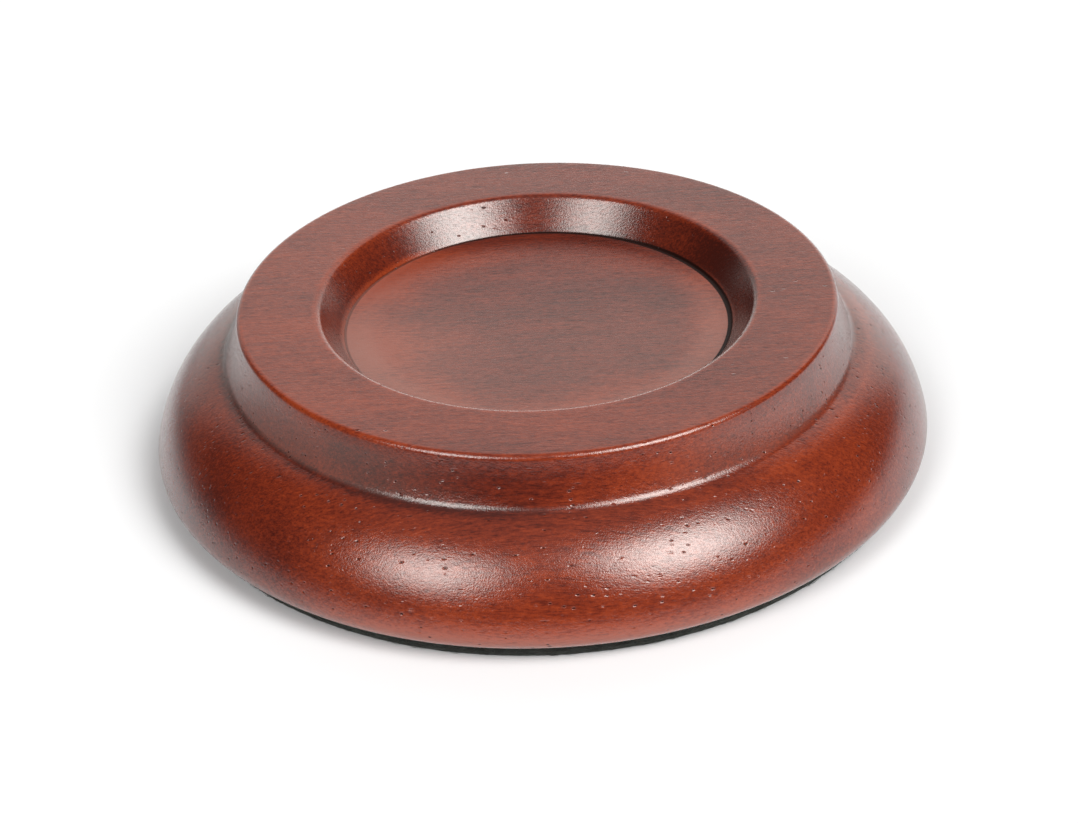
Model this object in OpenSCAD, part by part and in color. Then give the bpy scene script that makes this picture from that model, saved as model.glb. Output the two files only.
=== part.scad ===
// Castor cup: a turned wooden cup that stands under a furniture castor, with a
// felt pad glued to its underside. Origin at the bottom centre of the felt, +Z up.

/* [Cup] */
// Outside diameter over the bead
base_d = 90; // [82:1:120]
// Height of the wood, from its flat underside to the top of the ring
cup_h = 17.6; // [14:0.1:26]
// Diameter of the flat top ring at its outer edge
ring_d = 68.7; // [58:0.1:76]
// Rounding of the ring's outer edge
ring_edge_r = 0.45; // [0.2:0.05:1]

/* [Neck] */
// Depth of the neck, from the top of the ring down to the crease over the bead
neck_h = 5.6; // [3.5:0.1:8]
// How far the neck flares out between the ring and the crease
neck_flare = 1.85; // [0.6:0.05:3]
// How deep the neck is hollowed between its top and its foot
neck_hollow = 0.25; // [0.1:0.05:0.6]
// Rounding in the crease between the neck and the bead
crease_r = 1; // [0.4:0.1:1.6]

/* [Bead] */
// Swell of the bead over the straight line from the crease to its lower edge, in degrees
bead_swell = 35.7; // [26:0.1:46]
// Rounding of the bead into the flat underside
edge_r = 1.6; // [0.8:0.1:3]

/* [Recess] */
// Diameter of the castor recess at its mouth
recess_d = 50.2; // [40:0.1:58]
// Depth of the recess below the top of the ring
recess_depth = 3.8; // [2:0.1:6]
// Lean of the recess wall from upright, in degrees
recess_lean = 37; // [0:0.5:45]
// Rounding of the recess mouth
lip_r = 1; // [0.3:0.1:1.5]
// Rounding between the recess wall and its floor
recess_foot_r = 0.4; // [0.2:0.1:1]

/* [Felt] */
// Thickness of the felt pad
felt_t = 2; // [1:0.1:4]
// How far the felt stops short of the rim of the flat underside
felt_inset = 0.4; // [0:0.1:6]

/* [Hidden] */
$fn = 128;

function unit(v) = v / norm(v);

// Where two circles cross, on the left of the way from the first centre to the second
function crossing(a, ra, b, rb) =
    let (d = norm(b - a), u = (b - a) / d, x = (d * d + ra * ra - rb * rb) / (2 * d))
    a + u * x + [-u.y, u.x] * sqrt(ra * ra - x * x);

// Centre of a circle of radius r between the straight sides from corner p to a and to b
function corner_centre(p, a, b, r) =
    let (u = unit(a - p), w = unit(b - p))
    p + unit(u + w) * r / sin(acos(u * w) / 2);

// The point of the line from p through a that lies nearest to c
function foot(p, a, c) = p + unit(a - p) * ((c - p) * unit(a - p));

// Half profile, in [radius, height over the underside of the wood]. First its corners:
ring_corner = [ring_d / 2, cup_h];
crease = ring_corner + [neck_flare, -neck_h];
mouth_corner = [recess_d / 2, cup_h];
floor_corner = mouth_corner + recess_depth * [-tan(recess_lean), -1];
floor_middle = [0, floor_corner.y];

// Neck: a shallow hollow arc from the ring's corner to the crease
neck_run = crease - ring_corner;
neck_r = (neck_run * neck_run / 4 + neck_hollow * neck_hollow) / (2 * neck_hollow);
neck_c = (ring_corner + crease) / 2
    + unit([-neck_run.y, neck_run.x]) * (neck_r - neck_hollow);

// Bead: one large arc from the crease, tangent to the small round at the lower edge
edge_c = [base_d / 2 - edge_r, edge_r];
bead_run = crease - edge_c;
bead_slope = atan2(bead_run.y, -bead_run.x) - bead_swell;
bead_out = [sin(bead_slope), cos(bead_slope)];
bead_r = (bead_run * bead_run - edge_r * edge_r) / (2 * (bead_run * bead_out - edge_r));
bead_c = crease - bead_r * bead_out;
bead_end = bead_c + bead_r * unit(edge_c - bead_c);
base_corner = [bead_c.x + sqrt(bead_r * bead_r - bead_c.y * bead_c.y), 0];

// Crease: a small hollow arc tangent to the neck and to the bead
crease_c = crossing(bead_c, bead_r + crease_r, neck_c, neck_r - crease_r);
crease_top = neck_c + neck_r * unit(crease_c - neck_c);
crease_end = bead_c + bead_r * unit(crease_c - bead_c);

// Ring edge: a small round tangent to the flat top and to the neck
ring_edge_y = cup_h - ring_edge_r;
ring_edge_c = [
    neck_c.x - sqrt(pow(neck_r + ring_edge_r, 2) - pow(ring_edge_y - neck_c.y, 2)),
    ring_edge_y
];
ring_edge_top = [ring_edge_c.x, cup_h];
ring_edge_end = neck_c + neck_r * unit(ring_edge_c - neck_c);

// Recess: a round at the mouth and a hollow round at the foot of the wall
lip_c = corner_centre(mouth_corner, ring_corner, floor_corner, lip_r);
lip_top = foot(mouth_corner, ring_corner, lip_c);
lip_end = foot(mouth_corner, floor_corner, lip_c);
foot_c = corner_centre(floor_corner, mouth_corner, floor_middle, recess_foot_r);
foot_top = foot(floor_corner, mouth_corner, foot_c);
foot_end = foot(floor_corner, floor_middle, foot_c);

felt_d = 2 * (edge_c.x - felt_inset);

// Each round is drawn this much larger, so that it surely crosses what it runs into
hair = 0.001;

// What a round of radius r about c leaves over of corner p; it ends at a and at b
module corner_waste(c, r, p, a, b) {
    difference() {
        polygon([c, 2 * a - c, 2 * p - c, 2 * b - c]);
        translate(c) circle(r + hair);
    }
}

module bead() {
    difference() {
        translate(bead_c) circle(bead_r);
        corner_waste(edge_c, edge_r, base_corner, bead_end, [edge_c.x, 0]);
    }
}

module neck() {
    difference() {
        translate([0, crease.y - 2 * crease_r])
            square([neck_c.x, neck_h + 3 * crease_r]);
        translate(neck_c) circle(neck_r);
        corner_waste(ring_edge_c, ring_edge_r, ring_corner, ring_edge_end, ring_edge_top);
    }
}

module recess() {
    difference() {
        polygon([
            floor_middle - [1, 0], floor_corner, 2 * mouth_corner - floor_corner,
            [-1, cup_h + recess_depth]
        ]);
        corner_waste(foot_c, recess_foot_r, floor_corner, foot_top, foot_end);
    }
    corner_waste(lip_c, lip_r, mouth_corner, lip_top, lip_end);
}

module half_profile() {
    intersection() {
        square([base_d, cup_h]);
        difference() {
            union() {
                square(crease - [crease_r, crease_r]);
                bead();
                neck();
                corner_waste(crease_c, crease_r, crease, crease_top, crease_end);
            }
            recess();
        }
    }
}

// Turned wood, stained reddish brown
module cup() {
    color([0.47, 0.15, 0.09])
        translate([0, 0, felt_t])
            rotate_extrude() half_profile();
}

// Black felt disc glued under the wood
module felt_pad() {
    color([0.07, 0.08, 0.07])
        cylinder(d = felt_d, h = felt_t);
}

cup();
felt_pad();
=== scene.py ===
"""Castor cup: a turned wooden cup, stained reddish brown and lacquered, on a black
felt pad. Lengths are in mm, and heights are over the floor, unless a comment says
otherwise. X runs to the camera's right along the grain, and -Y towards the camera."""

import math

import bpy
import numpy as np
from mathutils import Matrix, Vector


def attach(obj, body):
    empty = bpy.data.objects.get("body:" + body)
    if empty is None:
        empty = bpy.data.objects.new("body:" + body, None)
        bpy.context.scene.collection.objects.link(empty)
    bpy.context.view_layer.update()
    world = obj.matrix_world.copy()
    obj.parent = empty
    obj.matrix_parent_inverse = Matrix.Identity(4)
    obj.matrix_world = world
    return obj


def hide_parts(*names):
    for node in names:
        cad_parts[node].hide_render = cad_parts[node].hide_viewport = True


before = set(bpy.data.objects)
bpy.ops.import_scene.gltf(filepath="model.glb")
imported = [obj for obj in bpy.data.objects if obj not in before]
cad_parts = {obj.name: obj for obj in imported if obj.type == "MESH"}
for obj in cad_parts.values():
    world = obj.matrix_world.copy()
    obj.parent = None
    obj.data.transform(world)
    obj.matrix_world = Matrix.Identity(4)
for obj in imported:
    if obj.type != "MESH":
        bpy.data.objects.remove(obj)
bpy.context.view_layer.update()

MM = 0.001
rng = np.random.default_rng(7)


# ---------------------------------------------------------------- node helpers


class Net:
    """Short calls for the nodes of one material or of the world."""

    def __init__(self, tree):
        self.tree = tree
        tree.nodes.clear()

    def add(self, kind, inputs=None, **settings):
        node = self.tree.nodes.new(kind)
        for name, value in settings.items():
            setattr(node, name, value)
        for socket, value in (inputs or {}).items():
            self.put(node.inputs[socket], value)
        return node

    def put(self, socket, value):
        if isinstance(value, bpy.types.NodeSocket):
            self.tree.links.new(value, socket)
        else:
            socket.default_value = value

    def math(self, operation, a, b=0.0):
        return self.add("ShaderNodeMath", {0: a, 1: b}, operation=operation).outputs[0]

    def vmath(self, operation, a, b=(0.0, 0.0, 0.0)):
        node = self.add("ShaderNodeVectorMath", {0: a, 1: b}, operation=operation)
        scalar = operation in ("DOT_PRODUCT", "LENGTH")
        return node.outputs["Value" if scalar else "Vector"]

    def sum(self, *terms):
        total = terms[0]
        for term in terms[1:]:
            total = self.math("ADD", total, term)
        return total

    def times(self, *factors):
        product = factors[0]
        for factor in factors[1:]:
            product = self.math("MULTIPLY", product, factor)
        return product

    def minus(self, a, b):
        return self.math("SUBTRACT", a, b)

    def larger(self, a, b):
        return self.math("MAXIMUM", a, b)

    def along(self, at, direction):
        return self.vmath("DOT_PRODUCT", at, direction)

    def span(self, value, low, high, to_low=0.0, to_high=1.0, kind="SMOOTHSTEP"):
        """value from low..high to to_low..to_high, held beyond both."""
        return self.add(
            "ShaderNodeMapRange",
            {0: value, 1: low, 2: high, 3: to_low, 4: to_high},
            interpolation_type=kind,
        ).outputs[0]

    def noise(self, at, stretch, detail=2.0, rough=0.5, distortion=0.0):
        """Noise between 0 and 1 whose grains are stretch = (x, y, z) long."""
        scaled = self.vmath("MULTIPLY", at, tuple(1.0 / s for s in stretch))
        return self.add(
            "ShaderNodeTexNoise",
            {
                "Vector": scaled,
                "Scale": 1.0,
                "Detail": detail,
                "Roughness": rough,
                "Distortion": distortion,
            },
        ).outputs[0]

    def mix(self, fac, a, b):
        node = self.add("ShaderNodeMix", data_type="RGBA")
        for socket, value in ((0, fac), (6, a), (7, b)):
            self.put(node.inputs[socket], value)
        return node.outputs[2]

    def bump(self, height):
        """The normal over a height in mm."""
        return self.add(
            "ShaderNodeBump", {"Strength": 1.0, "Distance": MM, "Height": height}
        ).outputs[0]

    def object_mm(self):
        coord = self.add("ShaderNodeTexCoord").outputs["Object"]
        return self.vmath("MULTIPLY", coord, (1 / MM,) * 3)

    def principled(self, inputs):
        shader = self.add("ShaderNodeBsdfPrincipled", inputs)
        self.add("ShaderNodeOutputMaterial", {0: shader.outputs[0]})


def rgb(r, g, b):
    return (r, g, b, 1.0)


def material(name):
    mat = bpy.data.materials.new(name)
    mat.use_nodes = True
    return mat, Net(mat.node_tree)


# ---------------------------------------------------------------- profiles and meshes


def vec(*v):
    return np.array(v, float)


def unit(v):
    return v / np.hypot(*v)


def crossing(a, ra, b, rb):
    """Where two circles cross, on the left of the way from a to b."""
    d = np.hypot(*(b - a))
    u = (b - a) / d
    x = (d * d + ra * ra - rb * rb) / (2 * d)
    return a + u * x + np.array([-u[1], u[0]]) * math.sqrt(ra * ra - x * x)


def corner_centre(p, a, b, r):
    """Centre of a circle of radius r between the sides from corner p to a and to b."""
    u, w = unit(a - p), unit(b - p)
    return p + unit(u + w) * r / math.sin(math.acos(u @ w) / 2)


def nearest(p, a, c):
    """The point of the line from p through a that lies nearest to c."""
    return p + unit(a - p) * ((c - p) @ unit(a - p))


def arc(c, start, end, step):
    """Points on a circle about c from start to end, the short way, about step apart."""
    a0 = math.atan2(*(start - c)[::-1])
    turn = (math.atan2(*(end - c)[::-1]) - a0 + math.pi) % (2 * math.pi) - math.pi
    r = np.hypot(*(start - c))
    n = max(3, math.ceil(abs(turn) * r / step))
    a = a0 + turn * np.linspace(0, 1, n + 1)
    return c + r * np.stack([np.cos(a), np.sin(a)], 1)


def line(start, end, step):
    n = max(1, math.ceil(np.hypot(*(end - start)) / step))
    return start + (end - start) * np.linspace(0, 1, n + 1)[:, None]


def joined(runs):
    """The runs end to start, with each shared point kept once."""
    return np.vstack([runs[0]] + [run[1:] for run in runs[1:]])


def mesh_object(name, points, faces, mat):
    """points are in metres."""
    mesh = bpy.data.meshes.new(name)
    mesh.from_pydata([tuple(p) for p in points], [], faces)
    mesh.polygons.foreach_set("use_smooth", [True] * len(mesh.polygons))
    mesh.materials.append(mat)
    mesh.validate()
    obj = bpy.data.objects.new(name, mesh)
    bpy.context.scene.collection.objects.link(obj)
    return obj


def lathe(name, profile, segments, mat, lift=0.0):
    """Turns a half profile that starts and ends on the axis into a closed mesh of quads."""
    angle = np.arange(segments) * 2 * math.pi / segments
    inner = profile[1:-1] * MM
    rings = len(inner)
    verts = np.empty((rings, segments, 3))
    verts[..., 0] = inner[:, :1] * np.cos(angle)
    verts[..., 1] = inner[:, :1] * np.sin(angle)
    verts[..., 2] = inner[:, 1:] + lift * MM
    poles = [(0, 0, profile[tip, 1] * MM + lift * MM) for tip in (0, -1)]
    points = np.vstack([verts.reshape(-1, 3), poles])
    j = np.arange(segments)
    k = (j + 1) % segments
    faces = []
    for i in range(rings - 1):
        a, b = i * segments, (i + 1) * segments
        faces += np.stack([a + j, b + j, b + k, a + k], 1).tolist()
    first, last = rings * segments, rings * segments + 1
    faces += np.stack([np.full(segments, first), j, k], 1).tolist()
    end = (rings - 1) * segments
    faces += np.stack([end + k, end + j, np.full(segments, last)], 1).tolist()
    return mesh_object(name, points, faces, mat)


# ---------------------------------------------------------------- the turned profile

BASE_R, CUP_H, FELT_T = 45.0, 17.6, 2.0
RING_R = 34.35
RING_EDGE_R = 0.7  # turned to 0.45 mm, and rounder by the lacquer over it
NECK_H, NECK_FLARE, NECK_HOLLOW = 5.6, 1.85, 0.25
CREASE_R = 1.5  # turned to 1 mm, and rounder by the lacquer that gathers in it
BEAD_SWELL, EDGE_R = 35.7, 1.6  # degrees, mm
RECESS_R, RECESS_DEPTH, RECESS_LEAN = 25.1, 3.8, 37.0  # mm, mm, degrees
LIP_R, RECESS_FOOT_R = 1.0, 0.4
CUP_SEGMENTS = 480


def cup_profile():
    """Half profile from the middle of the recess floor outwards and round to the
    middle of the underside: radius, height over the underside of the wood."""
    ring_corner = vec(RING_R, CUP_H)
    crease = ring_corner + vec(NECK_FLARE, -NECK_H)
    mouth = vec(RECESS_R, CUP_H)
    floor = mouth + RECESS_DEPTH * vec(-math.tan(math.radians(RECESS_LEAN)), -1)
    floor_mid = vec(0, floor[1])

    run = crease - ring_corner
    neck_r = (run @ run / 4 + NECK_HOLLOW**2) / (2 * NECK_HOLLOW)
    neck_c = (ring_corner + crease) / 2 + unit(vec(-run[1], run[0])) * (
        neck_r - NECK_HOLLOW
    )

    edge_c = vec(BASE_R - EDGE_R, EDGE_R)
    run = crease - edge_c
    slope = math.atan2(run[1], -run[0]) - math.radians(BEAD_SWELL)
    out = vec(math.sin(slope), math.cos(slope))
    bead_r = (run @ run - EDGE_R**2) / (2 * (run @ out - EDGE_R))
    bead_c = crease - bead_r * out
    bead_end = bead_c + bead_r * unit(edge_c - bead_c)

    crease_c = crossing(bead_c, bead_r + CREASE_R, neck_c, neck_r - CREASE_R)
    crease_top = neck_c + neck_r * unit(crease_c - neck_c)
    crease_end = bead_c + bead_r * unit(crease_c - bead_c)

    edge_y = CUP_H - RING_EDGE_R
    reach = math.sqrt((neck_r + RING_EDGE_R) ** 2 - (edge_y - neck_c[1]) ** 2)
    ring_edge_c = vec(neck_c[0] - reach, edge_y)
    ring_edge_end = neck_c + neck_r * unit(ring_edge_c - neck_c)

    lip_c = corner_centre(mouth, ring_corner, floor, LIP_R)
    lip_top, lip_end = nearest(mouth, ring_corner, lip_c), nearest(mouth, floor, lip_c)
    foot_c = corner_centre(floor, mouth, floor_mid, RECESS_FOOT_R)
    foot_top = nearest(floor, mouth, foot_c)
    foot_end = nearest(floor, floor_mid, foot_c)

    # the last number of each run is the distance between its points
    return joined(
        [
            line(floor_mid, foot_end, 1.0),
            arc(foot_c, foot_end, foot_top, 0.07),
            line(foot_top, lip_end, 0.3),
            arc(lip_c, lip_end, lip_top, 0.1),
            line(lip_top, vec(ring_edge_c[0], CUP_H), 0.8),
            arc(ring_edge_c, vec(ring_edge_c[0], CUP_H), ring_edge_end, 0.07),
            arc(neck_c, ring_edge_end, crease_top, 0.3),
            arc(crease_c, crease_top, crease_end, 0.1),
            arc(bead_c, crease_end, bead_end, 0.35),
            arc(edge_c, bead_end, vec(edge_c[0], 0), 0.15),
            line(vec(edge_c[0], 0), vec(0, 0), 1.5),
        ]
    )


# ---------------------------------------------------------------- the wood

RING_Z = FELT_T + CUP_H
CREASE_Z = RING_Z - NECK_H
SEAT_Z = RING_Z - RECESS_DEPTH
SEAT_R = 22.2  # where the recess floor meets the wall

# pores: length and width of the cell that each lies in, its largest half width as a
# share of the cell's, and how much luck it takes for a pore to be there
PORES = ((1.5, 0.66, 0.18, 1.22), (4.6, 0.95, 0.13, 1.4))

# where the tone is lighter (+) or darker (-), partly thinner or thicker stain and partly
# painted light and shade, such as the lighter front and darker back of the ring and the
# lighter front foot of the bead: centre, reach, change of tone
STAIN_AND_LIGHT_PATCHES = (
    ((-24.0, -20.0, RING_Z), (24.0, 22.0, 3.0), 0.14),
    ((28.0, 8.0, RING_Z), (26.0, 34.0, 3.0), 0.04),
    ((-27.0, 10.0, RING_Z), (22.0, 26.0, 3.0), 0.14),
    ((-4.0, -29.0, RING_Z), (24.0, 12.0, 3.0), 0.14),
    ((0.0, 31.0, RING_Z), (16.0, 9.0, 3.0), -0.16),
    ((12.0, 3.0, SEAT_Z), (14.0, 14.0, 2.0), -0.1),
    ((-16.0, -9.0, SEAT_Z), (15.0, 12.0, 2.0), 0.11),
    ((-12.0, -34.0, 16.5), (24.0, 14.0, 4.0), -0.22),
    ((19.0, -30.0, 16.5), (20.0, 14.0, 4.5), 0.26),
    ((-17.0, -40.0, 8.0), (20.0, 16.0, 9.0), 0.2),
    ((21.0, -38.0, 6.0), (16.0, 14.0, 8.0), 0.16),
    ((34.0, -26.0, 9.0), (18.0, 20.0, 9.0), 0.26),
    ((0.0, -45.0, 2.0), (46.0, 16.0, 4.5), 0.5),
)

# colour of the stained wood at each tone, from thick stain to thin
STAIN_COLOURS = (
    (0.0, rgb(0.050, 0.0060, 0.0029)),
    (0.33, rgb(0.103, 0.0119, 0.0043)),
    (0.60, rgb(0.160, 0.0195, 0.0057)),
    (1.0, rgb(0.258, 0.0358, 0.0086)),
)
# pale grey of the painted reflection on the lacquer
REFLECTION_HAZE_COLOUR = rgb(0.46, 0.40, 0.37)
PORE_COLOUR = rgb(0.03, 0.0055, 0.0026)
# painted shade in the corner round the recess floor
CORNER_SHADE_COLOUR = rgb(0.012, 0.0035, 0.0026)


class Spot:
    """Where a point of the cup lies and which way it faces."""

    def __init__(self, net):
        self.mm = net.object_mm()
        self.x, self.y, self.z = net.add("ShaderNodeSeparateXYZ", {0: self.mm}).outputs
        self.off = net.vmath("LENGTH", net.vmath("MULTIPLY", self.mm, (1.0, 1.0, 0.0)))
        self.normal = net.add("ShaderNodeNewGeometry").outputs["Normal"]
        self.level = net.span(net.along(self.normal, (0.0, 0.0, 1.0)), 0.9, 0.99)
        # 1 on the recess floor and in its corner
        self.seat = net.times(
            net.span(self.off, SEAT_R + 0.2, SEAT_R + 0.7, 1.0, 0.0),
            net.span(self.z, 8.0, 9.0),
        )


class Grain:
    """The wood's growth rings and noises, from coarse to fine, all between 0 and 1."""

    def __init__(self, net, spot):
        # the grain wanders a little off the X axis
        wander = net.minus(net.noise(spot.mm, (45, 14, 14), 1.0), 0.5)
        y = net.sum(net.times(wander, 3.0), spot.y)
        z = net.sum(net.times(wander, 2.0), spot.z)
        self.at = net.add("ShaderNodeCombineXYZ", {0: spot.x, 1: y, 2: z}).outputs[0]

        # growth rings about a line along X below and behind the cup
        dy, dz = net.sum(y, -24.0), net.sum(z, 58.0)
        radius = net.math("SQRT", net.sum(net.times(dy, dy), net.times(dz, dz)))
        wobble = net.noise(self.at, (60, 9, 9), 1.0)
        phase = net.sum(net.times(radius, 1.25), net.times(wobble, 7.0))
        self.rings = net.sum(net.times(net.math("SINE", phase), 0.5), 0.5)

        self.stain = net.noise(spot.mm, (17, 12, 12), 2.0, 0.55)
        self.mottle = net.noise(self.at, (24, 7, 7), 2.0, 0.5)
        self.streaks = net.noise(self.at, (4.2, 0.44, 0.44), 3.0, 0.6)
        self.lines = net.noise(self.at, (9.0, 0.15, 0.15), 1.0, 0.5)
        self.speck = net.noise(self.at, (0.62, 0.28, 0.28), 2.0, 0.65)
        self.hair = net.noise(self.at, (2.2, 0.18, 0.18), 2.0, 0.6)
        self.fleck = net.noise(self.at, (1.1, 0.16, 0.16), 2.0, 0.6)


def pores(net, spot, grain):
    """Rods along the grain, crowded in some places and few on level faces and on the
    recess wall: 1 in the pore, and 1 in the dent of the lacquer over it."""
    crowd = net.minus(
        net.times(net.noise(spot.mm, (11, 7, 7), 1.0), 1.3), net.times(spot.level, 0.46)
    )
    inside = net.span(spot.off, RECESS_R - 0.2, RECESS_R + 0.9, 0.32, 0.0)
    crowd = net.minus(crowd, inside)
    pore, dent = 0.0, 0.0
    for length, width, girth, odds in PORES:
        cell = net.vmath("MULTIPLY", grain.at, (1 / length, 1 / width, 1 / width))
        rods = net.add("ShaderNodeTexVoronoi", {"Vector": cell, "Scale": 1.0}).outputs
        luck = net.add("ShaderNodeSeparateColor", {0: rods["Color"]}).outputs
        there = net.span(net.sum(luck[0], crowd), odds, odds + 0.02)
        size = net.span(luck[1], 0.0, 1.0, 0.5 * girth, girth, "LINEAR")
        depth = net.minus(rods["Distance"], size)
        hole = net.times(net.span(depth, -0.07, 0.01, 1.0, 0.0), there)
        edge = net.times(net.span(depth, -0.05, 0.11, 1.0, 0.0), there)
        pore, dent = net.larger(hole, pore), net.larger(edge, dent)
    return pore, dent


def wood_tone(net, grain):
    """The wood's own tone, before the stain gathers anywhere."""

    def linear(value, low, high):
        return net.span(value, low, high, kind="LINEAR")

    return net.sum(
        net.times(linear(grain.streaks, 0.3, 0.7), 0.32),
        net.times(linear(grain.speck, 0.25, 0.75), 0.42),
        net.times(net.span(grain.fleck, 0.42, 0.74), -0.30),
        net.times(linear(grain.mottle, 0.3, 0.7), 0.16),
        net.span(grain.lines, 0.6, 0.75, 0.0, -0.22),
        net.times(grain.rings, 0.08),
        net.times(linear(grain.stain, 0.3, 0.7), 0.24),
    )


def recess_stain_light_and_shade(net, spot, grain):
    """Change of tone in the recess, partly stain and partly painted light and shade: the
    wall darker, most on the right, and the floor lighter towards its edge but darker at the
    back.
    """
    # painted shade over thicker stain: the recess wall is darker, most on the right
    wall = net.times(
        net.span(spot.off, RECESS_R + 0.3, RECESS_R + 1.1, 1.0, 0.0),
        net.span(spot.z, SEAT_Z + 0.1, SEAT_Z + 0.6),
        net.minus(1.0, spot.level),
    )
    wall_shading = net.sum(
        net.span(spot.x, -24.0, -12.0, 0.02, -0.2),
        net.span(spot.x, -8.0, 12.0, 0.0, 0.12),
        net.span(spot.x, 14.0, 21.5, 0.0, -0.28),
    )

    # painted light over thinner stain: the floor lightens towards its edge, and painted
    # shade darkens it at the back
    ragged = net.sum(spot.off, net.times(net.minus(grain.stain, 0.5), 3.0))
    start = net.span(spot.x, -16.0, 6.0, 12.5, 15.5)
    thin = net.math(
        "DIVIDE", net.minus(ragged, start), net.minus(SEAT_R + 0.4, start)
    )
    back = net.along(spot.mm, (0.25, 1.0, 0.0))
    most = net.times(
        net.span(back, 12.3, 19.5, 1.0, -0.5),
        net.span(spot.x, -20.0, 8.0, 0.55, 0.56),
    )
    thin = net.sum(net.times(net.span(thin, 0.0, 1.0), most), -0.03)
    return net.sum(net.times(wall, wall_shading), net.times(thin, spot.seat))


def edge_wear_and_highlight(net, spot, grain):
    """Change of tone on both edges of the ring: lighter, partly stain rubbed thin and
    partly a painted highlight.
    """
    # painted highlight over rubbed stain, on the ring's outer edge and on the lip
    outer = net.times(
        net.span(spot.off, RING_R - 0.75, RING_R - 0.4),
        net.span(spot.z, RING_Z - 0.7, RING_Z - 0.35),
    )
    inner = net.times(
        net.span(spot.off, RECESS_R + 0.45, RECESS_R + 0.9, 1.0, 0.0),
        net.span(spot.z, RING_Z - 0.7, RING_Z - 0.3),
    )
    patchy = net.span(grain.speck, 0.3, 0.6, 0.7, 1.0)
    return net.times(net.larger(outer, inner), patchy, 0.2)


def crease_shade_and_crown_light(net, spot):
    """Change of tone: darker in the crease, where stain gathers and painted shade is added,
    most on the left; and lighter on the bead's crown beside it, painted light that grows
    towards the right."""
    gap = net.math("ABSOLUTE", net.minus(spot.z, CREASE_Z))
    # painted shade in the crease over the gathered stain, strongest on the left
    gathers = net.times(
        net.span(gap, 0.1, 0.55, 1.0, 0.0),
        net.span(spot.off, 37.6, 38.4, 1.0, 0.0),
        net.span(spot.x, -16.0, 8.0, -0.42, -0.06),
    )
    # painted light on the bead's crown, growing towards the right
    crown = net.times(
        net.span(spot.off, 37.3, 38.2),
        net.span(spot.off, 38.0, 39.4, 0.18, 0.0),
        net.span(spot.z, 8.0, 9.0),
        net.span(spot.x, 0.0, 22.0, -0.1, 1.1),
    )
    return net.sum(gathers, crown)


def painted_reflection_haze(net, spot):
    """How much painted reflection, a pale grey in the colour, lies on the recess floor,
    more on its left and near its wall, on both sides of the neck, and at the bead's foot."""
    seat = net.times(
        net.sum(
            net.span(spot.x, -20.0, 0.0, 0.095, 0.055),
            net.span(spot.off, 17.5, 20.5, 0.0, 0.07),
        ),
        spot.seat,
        net.span(spot.y, -7.0, 14.0, 1.0, 0.0),
    )
    neck = net.times(
        net.sum(
            net.span(spot.x, -24.0, -5.0, 0.11, 0.0),
            net.span(spot.x, 8.0, 20.0, 0.0, 0.065),
        ),
        net.span(spot.off, 36.6, 37.6, 1.0, 0.0),
        net.span(spot.off, 34.3, 34.8),
        net.span(spot.z, CREASE_Z - 0.2, CREASE_Z + 0.4),
    )
    foot = net.times(
        net.span(spot.z, 3.0, 5.0, 0.09, 0.0), net.span(spot.z, FELT_T, FELT_T + 0.2)
    )
    return net.larger(net.larger(seat, neck), foot)


def painted_corner_shade(net, spot):
    """1 in the painted shade: a dark line round the recess floor, which broadens to the
    right.
    """
    away = net.math("ABSOLUTE", net.minus(spot.off, SEAT_R))
    away = net.minus(away, net.span(spot.x, 4.0, 19.0, 0.0, 0.16))
    return net.times(
        net.span(away, 0.07, 0.2, 1.0, 0.0),
        spot.seat,
        net.span(spot.x, -22.0, 2.0, 0.55, 1.0),
    )


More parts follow.
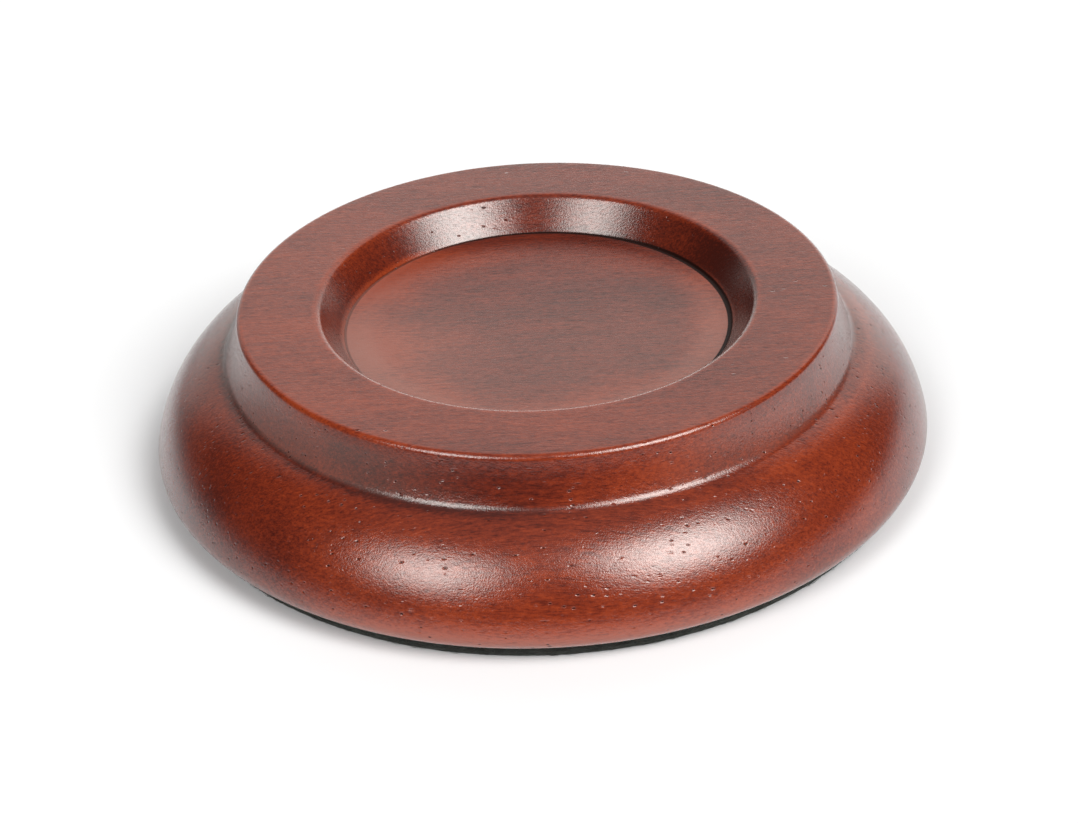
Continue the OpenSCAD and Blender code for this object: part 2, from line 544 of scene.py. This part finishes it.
def wood_material():
    """Stained hardwood, grain along X, with open pores under a satin lacquer."""
    mat, net = material("stained_wood")
    spot = Spot(net)
    grain = Grain(net, spot)
    pore, dent = pores(net, spot, grain)

    # the ends of the fibres take up more stain
    ends = net.math("ABSOLUTE", net.along(spot.normal, (1.0, 0.0, 0.0)))
    tone = net.minus(wood_tone(net, grain), net.times(net.span(ends, 0.2, 0.95), 0.2))

    # the stain was wiped on by hand: patches of it are thinner or thicker, and other
    # patches are painted light and shade
    for centre, reach, change in STAIN_AND_LIGHT_PATCHES:
        away = net.vmath("SUBTRACT", spot.mm, centre)
        away = net.vmath("MULTIPLY", away, tuple(1 / r for r in reach))
        away = net.vmath("LENGTH", away)
        tone = net.sum(tone, net.span(away, 0.25, 1.0, change, 0.0))
    tone = net.sum(
        tone,
        recess_stain_light_and_shade(net, spot, grain),
        edge_wear_and_highlight(net, spot, grain),
        crease_shade_and_crown_light(net, spot),
    )

    ramp = net.add("ShaderNodeValToRGB", {0: tone})
    stops = ramp.color_ramp.elements
    for at, colour in STAIN_COLOURS:
        stop = stops[0] if at == 0.0 else stops[-1] if at == 1.0 else stops.new(at)
        stop.position = at
        stop.color = colour
    # painted shade in the recess floor's corner, with the coat nearly taken away there
    corner = painted_corner_shade(net, spot)
    # painted reflection: a pale grey mixed into the stained colour
    colour = net.mix(painted_reflection_haze(net, spot), ramp.outputs[0], REFLECTION_HAZE_COLOUR)
    colour = net.mix(pore, colour, PORE_COLOUR)
    colour = net.mix(corner, colour, CORNER_SHADE_COLOUR)

    # the lacquer sinks into the pores and ripples over the fibres
    peel = net.noise(spot.mm, (0.2, 0.17, 0.17), 2.0, 0.6)
    bump = net.bump(
        net.sum(
            net.times(dent, -0.026),
            net.times(peel, 0.023),
            net.times(grain.speck, 0.012),
            net.times(grain.streaks, 0.008),
            net.times(grain.hair, 0.005),
        )
    )
    rough = net.sum(
        net.span(grain.hair, 0.25, 0.75, 0.36, 0.44, "LINEAR"),
        net.times(net.minus(grain.mottle, 0.5), 0.1),
        net.times(pore, 0.15),
    )
    # it is thinner over the dark flecks, and nearly gone in pores and in the painted shade
    # of the corner
    coat = net.math(
        "MINIMUM",
        net.span(grain.fleck, 0.42, 0.74, 1.0, 0.7),
        net.span(net.larger(pore, corner), 0.0, 1.0, 1.0, 0.1, "LINEAR"),
    )
    net.principled(
        {
            "Base Color": colour,
            "Roughness": rough,
            "IOR": 1.5,
            "Specular IOR Level": 0.08,
            "Normal": bump,
            "Coat Weight": coat,
            "Coat Roughness": 0.15,
            "Coat IOR": 1.7,
            "Coat Normal": bump,
        }
    )
    return mat


wood = wood_material()
cup = lathe("turned_cup", cup_profile(), CUP_SEGMENTS, wood, lift=FELT_T)
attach(cup, "root")
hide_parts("cup")


# ---------------------------------------------------------------- the felt pad

FELT_R = 43.0
FELT_TOP_EDGE_R, FELT_UNDER_R = 0.25, 0.8
FELT_SEGMENTS = 720
RUFFLES = ((37, 0.35), (83, 0.3), (191, 0.25), (301, 0.2))  # waves round the rim, share
FIBRES = 1600
SPINE_POINTS = 6
FIBRE_SIDES = 3


def felt_material():
    """Black pressed felt: matted fibres with a soft sheen."""
    mat, net = material("black_felt")
    mm = net.object_mm()
    warp = net.noise(mm, (0.9, 0.9, 0.9), 2.0)
    fibres = net.noise(mm, (0.5, 0.5, 0.16), 3.0, 0.7, 2.2)
    clumps = net.noise(mm, (2.2, 2.2, 1.2), 2.0, 0.6)
    tone = net.sum(
        net.times(fibres, 0.6), net.times(clumps, 0.25), net.times(warp, 0.15)
    )
    net.principled(
        {
            "Base Color": net.mix(
                net.span(tone, 0.35, 0.68),
                rgb(0.0045, 0.005, 0.0045),
                rgb(0.034, 0.037, 0.034),
            ),
            "Roughness": net.span(fibres, 0.3, 0.7, 0.78, 0.98),
            "Normal": net.bump(net.sum(net.times(fibres, 0.16), net.times(clumps, 0.1))),
            "Specular IOR Level": 0.15,
            "Sheen Weight": 0.25,
            "Sheen Roughness": 0.6,
            "Sheen Tint": rgb(0.55, 0.6, 0.55),
        }
    )
    return mat


def felt_profile():
    """A flat disc whose rim rounds under, from the top middle to the bottom middle."""
    soft, under = FELT_TOP_EDGE_R, FELT_UNDER_R
    top_edge, under_edge = vec(FELT_R - soft, FELT_T), vec(FELT_R - under, 0)
    rim_top, rim_low = vec(FELT_R, FELT_T - soft), vec(FELT_R, under)
    return joined(
        [
            line(vec(0, FELT_T), top_edge, 2.0),
            arc(vec(FELT_R - soft, FELT_T - soft), top_edge, rim_top, 0.1),
            line(rim_top, rim_low, 0.12),
            arc(vec(FELT_R - under, under), rim_low, under_edge, 0.1),
            line(under_edge, vec(0, 0), 2.0),
        ]
    )


def ruffle_rim(pad):
    """Makes the rim uneven by about 0.1 mm, mostly inwards."""
    co = np.array([v.co[:] for v in pad.data.vertices])
    radius = np.hypot(co[:, 0], co[:, 1])
    rim = radius > (FELT_R - 0.3) * MM
    angle = np.arctan2(co[:, 1], co[:, 0])
    ruffle = np.zeros(len(co))
    for waves, share in RUFFLES:
        phase = rng.uniform(0, 6.28, 2)
        ruffle += share * np.sin(waves * angle + phase[0]) * np.cos(
            co[:, 2] / MM * rng.uniform(1, 4) + phase[1]
        )
    ruffle += rng.normal(0, 0.5, len(co))
    push = 1 + np.where(rim, (ruffle * 0.05 - 0.06) * MM / np.maximum(radius, 1e-6), 0)
    co[:, 0] *= push
    co[:, 1] *= push
    for vertex, p in zip(pad.data.vertices, co):
        vertex.co = p


def fibre_spine():
    """The middle line of one loose fibre on the rim, and how thick it is."""
    at = rng.uniform(0, 2 * math.pi)
    height = rng.uniform(0.12, FELT_T - 0.12)
    heading = rng.normal(0, 0.6)
    length = rng.uniform(0.6, 1.8)
    bend = rng.normal(0, 0.9)
    out = rng.uniform(0.0, 0.22)
    thick = rng.uniform(0.012, 0.022)
    spine = []
    for s in np.linspace(0, 1, SPINE_POINTS):
        a = heading + bend * (s - 0.5)
        round_rim = length * (s - 0.5) * math.cos(a)
        z = height + length * (s - 0.5) * math.sin(a)
        z = min(max(z, 0.03), FELT_T - 0.03)
        over = FELT_UNDER_R - min(z, FELT_UNDER_R)
        tuck = FELT_UNDER_R - math.sqrt(FELT_UNDER_R**2 - over**2)
        r = FELT_R - 0.03 - tuck + out * math.sin(math.pi * s)
        angle = at + round_rim / FELT_R
        spine.append((r * math.cos(angle), r * math.sin(angle), z))
    return np.array(spine), thick


def fibre_meshes(count):
    """Loose fibres on the rim: thin three-sided tubes that lie along it and stray."""
    points, faces = [], []
    for _ in range(count):
        spine, thick = fibre_spine()
        tangent = np.gradient(spine, axis=0)
        tangent /= np.linalg.norm(tangent, axis=1)[:, None]
        side = np.cross(tangent, (0.3, 0.2, 1.0))
        side /= np.linalg.norm(side, axis=1)[:, None]
        other = np.cross(tangent, side)
        base = len(points)
        for i in range(SPINE_POINTS):
            w = thick * (0.35 + 0.65 * math.sin(math.pi * (i + 0.5) / SPINE_POINTS))
            for k in range(FIBRE_SIDES):
                q = k * 2 * math.pi / FIBRE_SIDES
                p = spine[i] + w * (math.cos(q) * side[i] + math.sin(q) * other[i])
                p[2] = max(p[2], 0.002)
                points.append(p * MM)
        for i in range(SPINE_POINTS - 1):
            row = base + FIBRE_SIDES * i
            for k in range(FIBRE_SIDES):
                a, b = row + k, row + (k + 1) % FIBRE_SIDES
                faces.append((a, b, b + FIBRE_SIDES, a + FIBRE_SIDES))
        faces.append((base + 2, base + 1, base))
        end = base + FIBRE_SIDES * (SPINE_POINTS - 1)
        faces.append((end, end + 1, end + 2))
    return points, faces


felt = felt_material()
pad = lathe("felt_disc", felt_profile(), FELT_SEGMENTS, felt)
ruffle_rim(pad)
points, faces = fibre_meshes(FIBRES)
fuzz = mesh_object("felt_fibres", points, faces, felt)
for piece in (pad, fuzz):
    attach(piece, "root")
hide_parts("felt_pad")
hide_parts("felt_pad")


# ---------------------------------------------------------------- studio, in metres

STUDIO_R, STUDIO_SEGMENTS = 4.0, 96
STUDIO_TONE = (0.845, 0.858, 0.894)  # white in the studio's warm light
LIGHT_COLOUR = rgb(1.0, 0.985, 0.945)

# soft panels: azimuth to the camera's right and elevation in degrees, then width,
# height and soft border in units of the panel's distance
LIGHTS = (
    ((-38, 40, 0.41, 0.48, 0.36), 9.0),
    ((47, 45, 0.57, 0.56, 0.40), 11.4),
)
BACK_WALL = (180, 12, 1.9, 2.2, 0.35)


def floor_material():
    """Pale floor. In reflections it fades to dark towards the camera and to the left,
    past the lit part."""
    mat, net = material("studio_floor")
    coord = net.add("ShaderNodeTexCoord").outputs["Object"]
    fleck = net.noise(coord, (0.4, 0.4, 0.4), 2.0)
    shade = net.span(fleck, 0.3, 0.7, 0.995, 1.005, "LINEAR")
    reach = net.vmath("LENGTH", coord)

    front = net.math("DIVIDE", net.along(coord, (0.0, -1.0, 0.0)), reach)
    front = net.times(
        net.span(front, 0.3, 0.75), net.span(reach, 0.07, 0.19, 0.0, 0.97)
    )
    left = net.math("DIVIDE", net.along(coord, (-1.0, 0.0, 0.0)), reach)
    left = net.times(
        net.span(left, 0.35, 0.85),
        net.span(reach, 0.05, 0.12, 0.0, 0.8),
        net.span(reach, 0.12, 0.4, 1.0, 0.8),
    )
    mirrored = net.add("ShaderNodeLightPath").outputs["Is Glossy Ray"]
    dark = net.times(net.larger(front, left), mirrored)

    colour = net.add("ShaderNodeVectorMath", {0: STUDIO_TONE}, operation="SCALE")
    net.put(colour.inputs["Scale"], net.times(shade, net.minus(1.0, dark)))
    net.principled(
        {
            "Base Color": colour.outputs["Vector"],
            "Roughness": 0.9,
            "Specular IOR Level": 0.1,
        }
    )
    return mat


def studio_floor():
    turn = np.arange(STUDIO_SEGMENTS) * 2 * math.pi / STUDIO_SEGMENTS
    rim = np.stack([np.cos(turn), np.sin(turn), np.zeros(STUDIO_SEGMENTS)], 1)
    faces = [tuple(range(STUDIO_SEGMENTS))]
    return mesh_object("studio_floor", STUDIO_R * rim, faces, floor_material())


def panel(net, ray, azimuth, elevation, width, height, soft):
    """1 inside a flat panel in that direction, falling to 0 over its soft border."""
    a, e = math.radians(azimuth), math.radians(elevation)
    out = Vector((math.sin(a) * math.cos(e), -math.cos(a) * math.cos(e), math.sin(e)))
    right = Vector((0, 0, 1)).cross(out).normalized() * -1
    up = out.cross(right) * -1
    depth = net.larger(net.along(ray, tuple(out)), 1e-4)
    mask = net.span(depth, 0.02, 0.1)
    for axis, size in ((right, width), (up, height)):
        x = net.math("DIVIDE", net.along(ray, tuple(axis)), depth)
        x = net.math("ABSOLUTE", x)
        edge = net.span(x, size / 2 - soft / 2, size / 2 + soft / 2, 1.0, 0.0)
        mask = net.times(mask, edge)
    return mask


def studio_world():
    """A dim room with two soft panels and a back wall, and white to the camera."""
    world = bpy.data.worlds.new("studio")
    bpy.context.scene.world = world
    world.use_nodes = True
    net = Net(world.node_tree)
    ray = net.add("ShaderNodeTexCoord").outputs["Generated"]
    height = net.along(ray, (0.0, 0.0, 1.0))
    across = net.along(ray, (1.0, 0.0, 0.0))

    level = net.span(height, 0.75, 0.98, 0.03, 0.22)
    for shape, strength in LIGHTS:
        level = net.sum(level, net.times(panel(net, ray, *shape), strength))

    # the back wall is brighter on the right, and near the floor in the middle
    aside = net.math("ABSOLUTE", across)
    near_floor = net.times(
        net.sum(
            net.span(aside, 0.05, 0.75, 0.9, 0.05), net.span(aside, 0.0, 0.3, 1.2, 0.0)
        ),
        net.span(height, 0.0, 0.35, 1.0, 0.0),
    )
    glow = net.sum(
        net.span(across, -0.8, 0.0, 0.4, 0.7),
        net.span(across, 0.0, 0.8, 0.0, 0.4),
        near_floor,
    )
    level = net.sum(level, net.times(panel(net, ray, *BACK_WALL), glow))

    seen = net.add("ShaderNodeLightPath").outputs["Is Camera Ray"]
    lit = net.add("ShaderNodeBackground", {"Color": LIGHT_COLOUR, "Strength": level})
    white = net.add("ShaderNodeBackground", {"Color": rgb(1, 1, 1), "Strength": 1.0})
    both = {0: seen, 1: lit.outputs[0], 2: white.outputs[0]}
    mixed = net.add("ShaderNodeMixShader", both)
    net.add("ShaderNodeOutputWorld", {0: mixed.outputs[0]})


floor = studio_floor()
studio_world()


# ---------------------------------------------------------------- camera, in metres

CAMERA_AT, CAMERA_AIM = (0.0, -0.26195, 0.16549), (-0.0002, 0.0, 0.00381)
CAMERA_ROLL = math.radians(-2.638)
CAMERA_LENS, CAMERA_SENSOR = 87.04, 36.0


def place_camera():
    place = Vector(CAMERA_AT)
    ahead = (Vector(CAMERA_AIM) - place).normalized()
    right = ahead.cross(Vector((0, 0, 1))).normalized()
    up = right.cross(ahead)
    across = right * math.cos(CAMERA_ROLL) + up * math.sin(CAMERA_ROLL)
    axes = Matrix((across, across.cross(ahead), -ahead)).transposed()
    camera = bpy.data.objects.new("camera", bpy.data.cameras.new("camera"))
    camera.data.sensor_width = CAMERA_SENSOR
    camera.data.lens = CAMERA_LENS
    camera.data.clip_start = 0.01
    camera.matrix_world = Matrix.Translation(place) @ axes.to_4x4()
    bpy.context.scene.collection.objects.link(camera)
    bpy.context.scene.camera = camera


place_camera()
bpy.context.scene.view_settings.view_transform = "Standard"

bpy.context.view_layer.update()
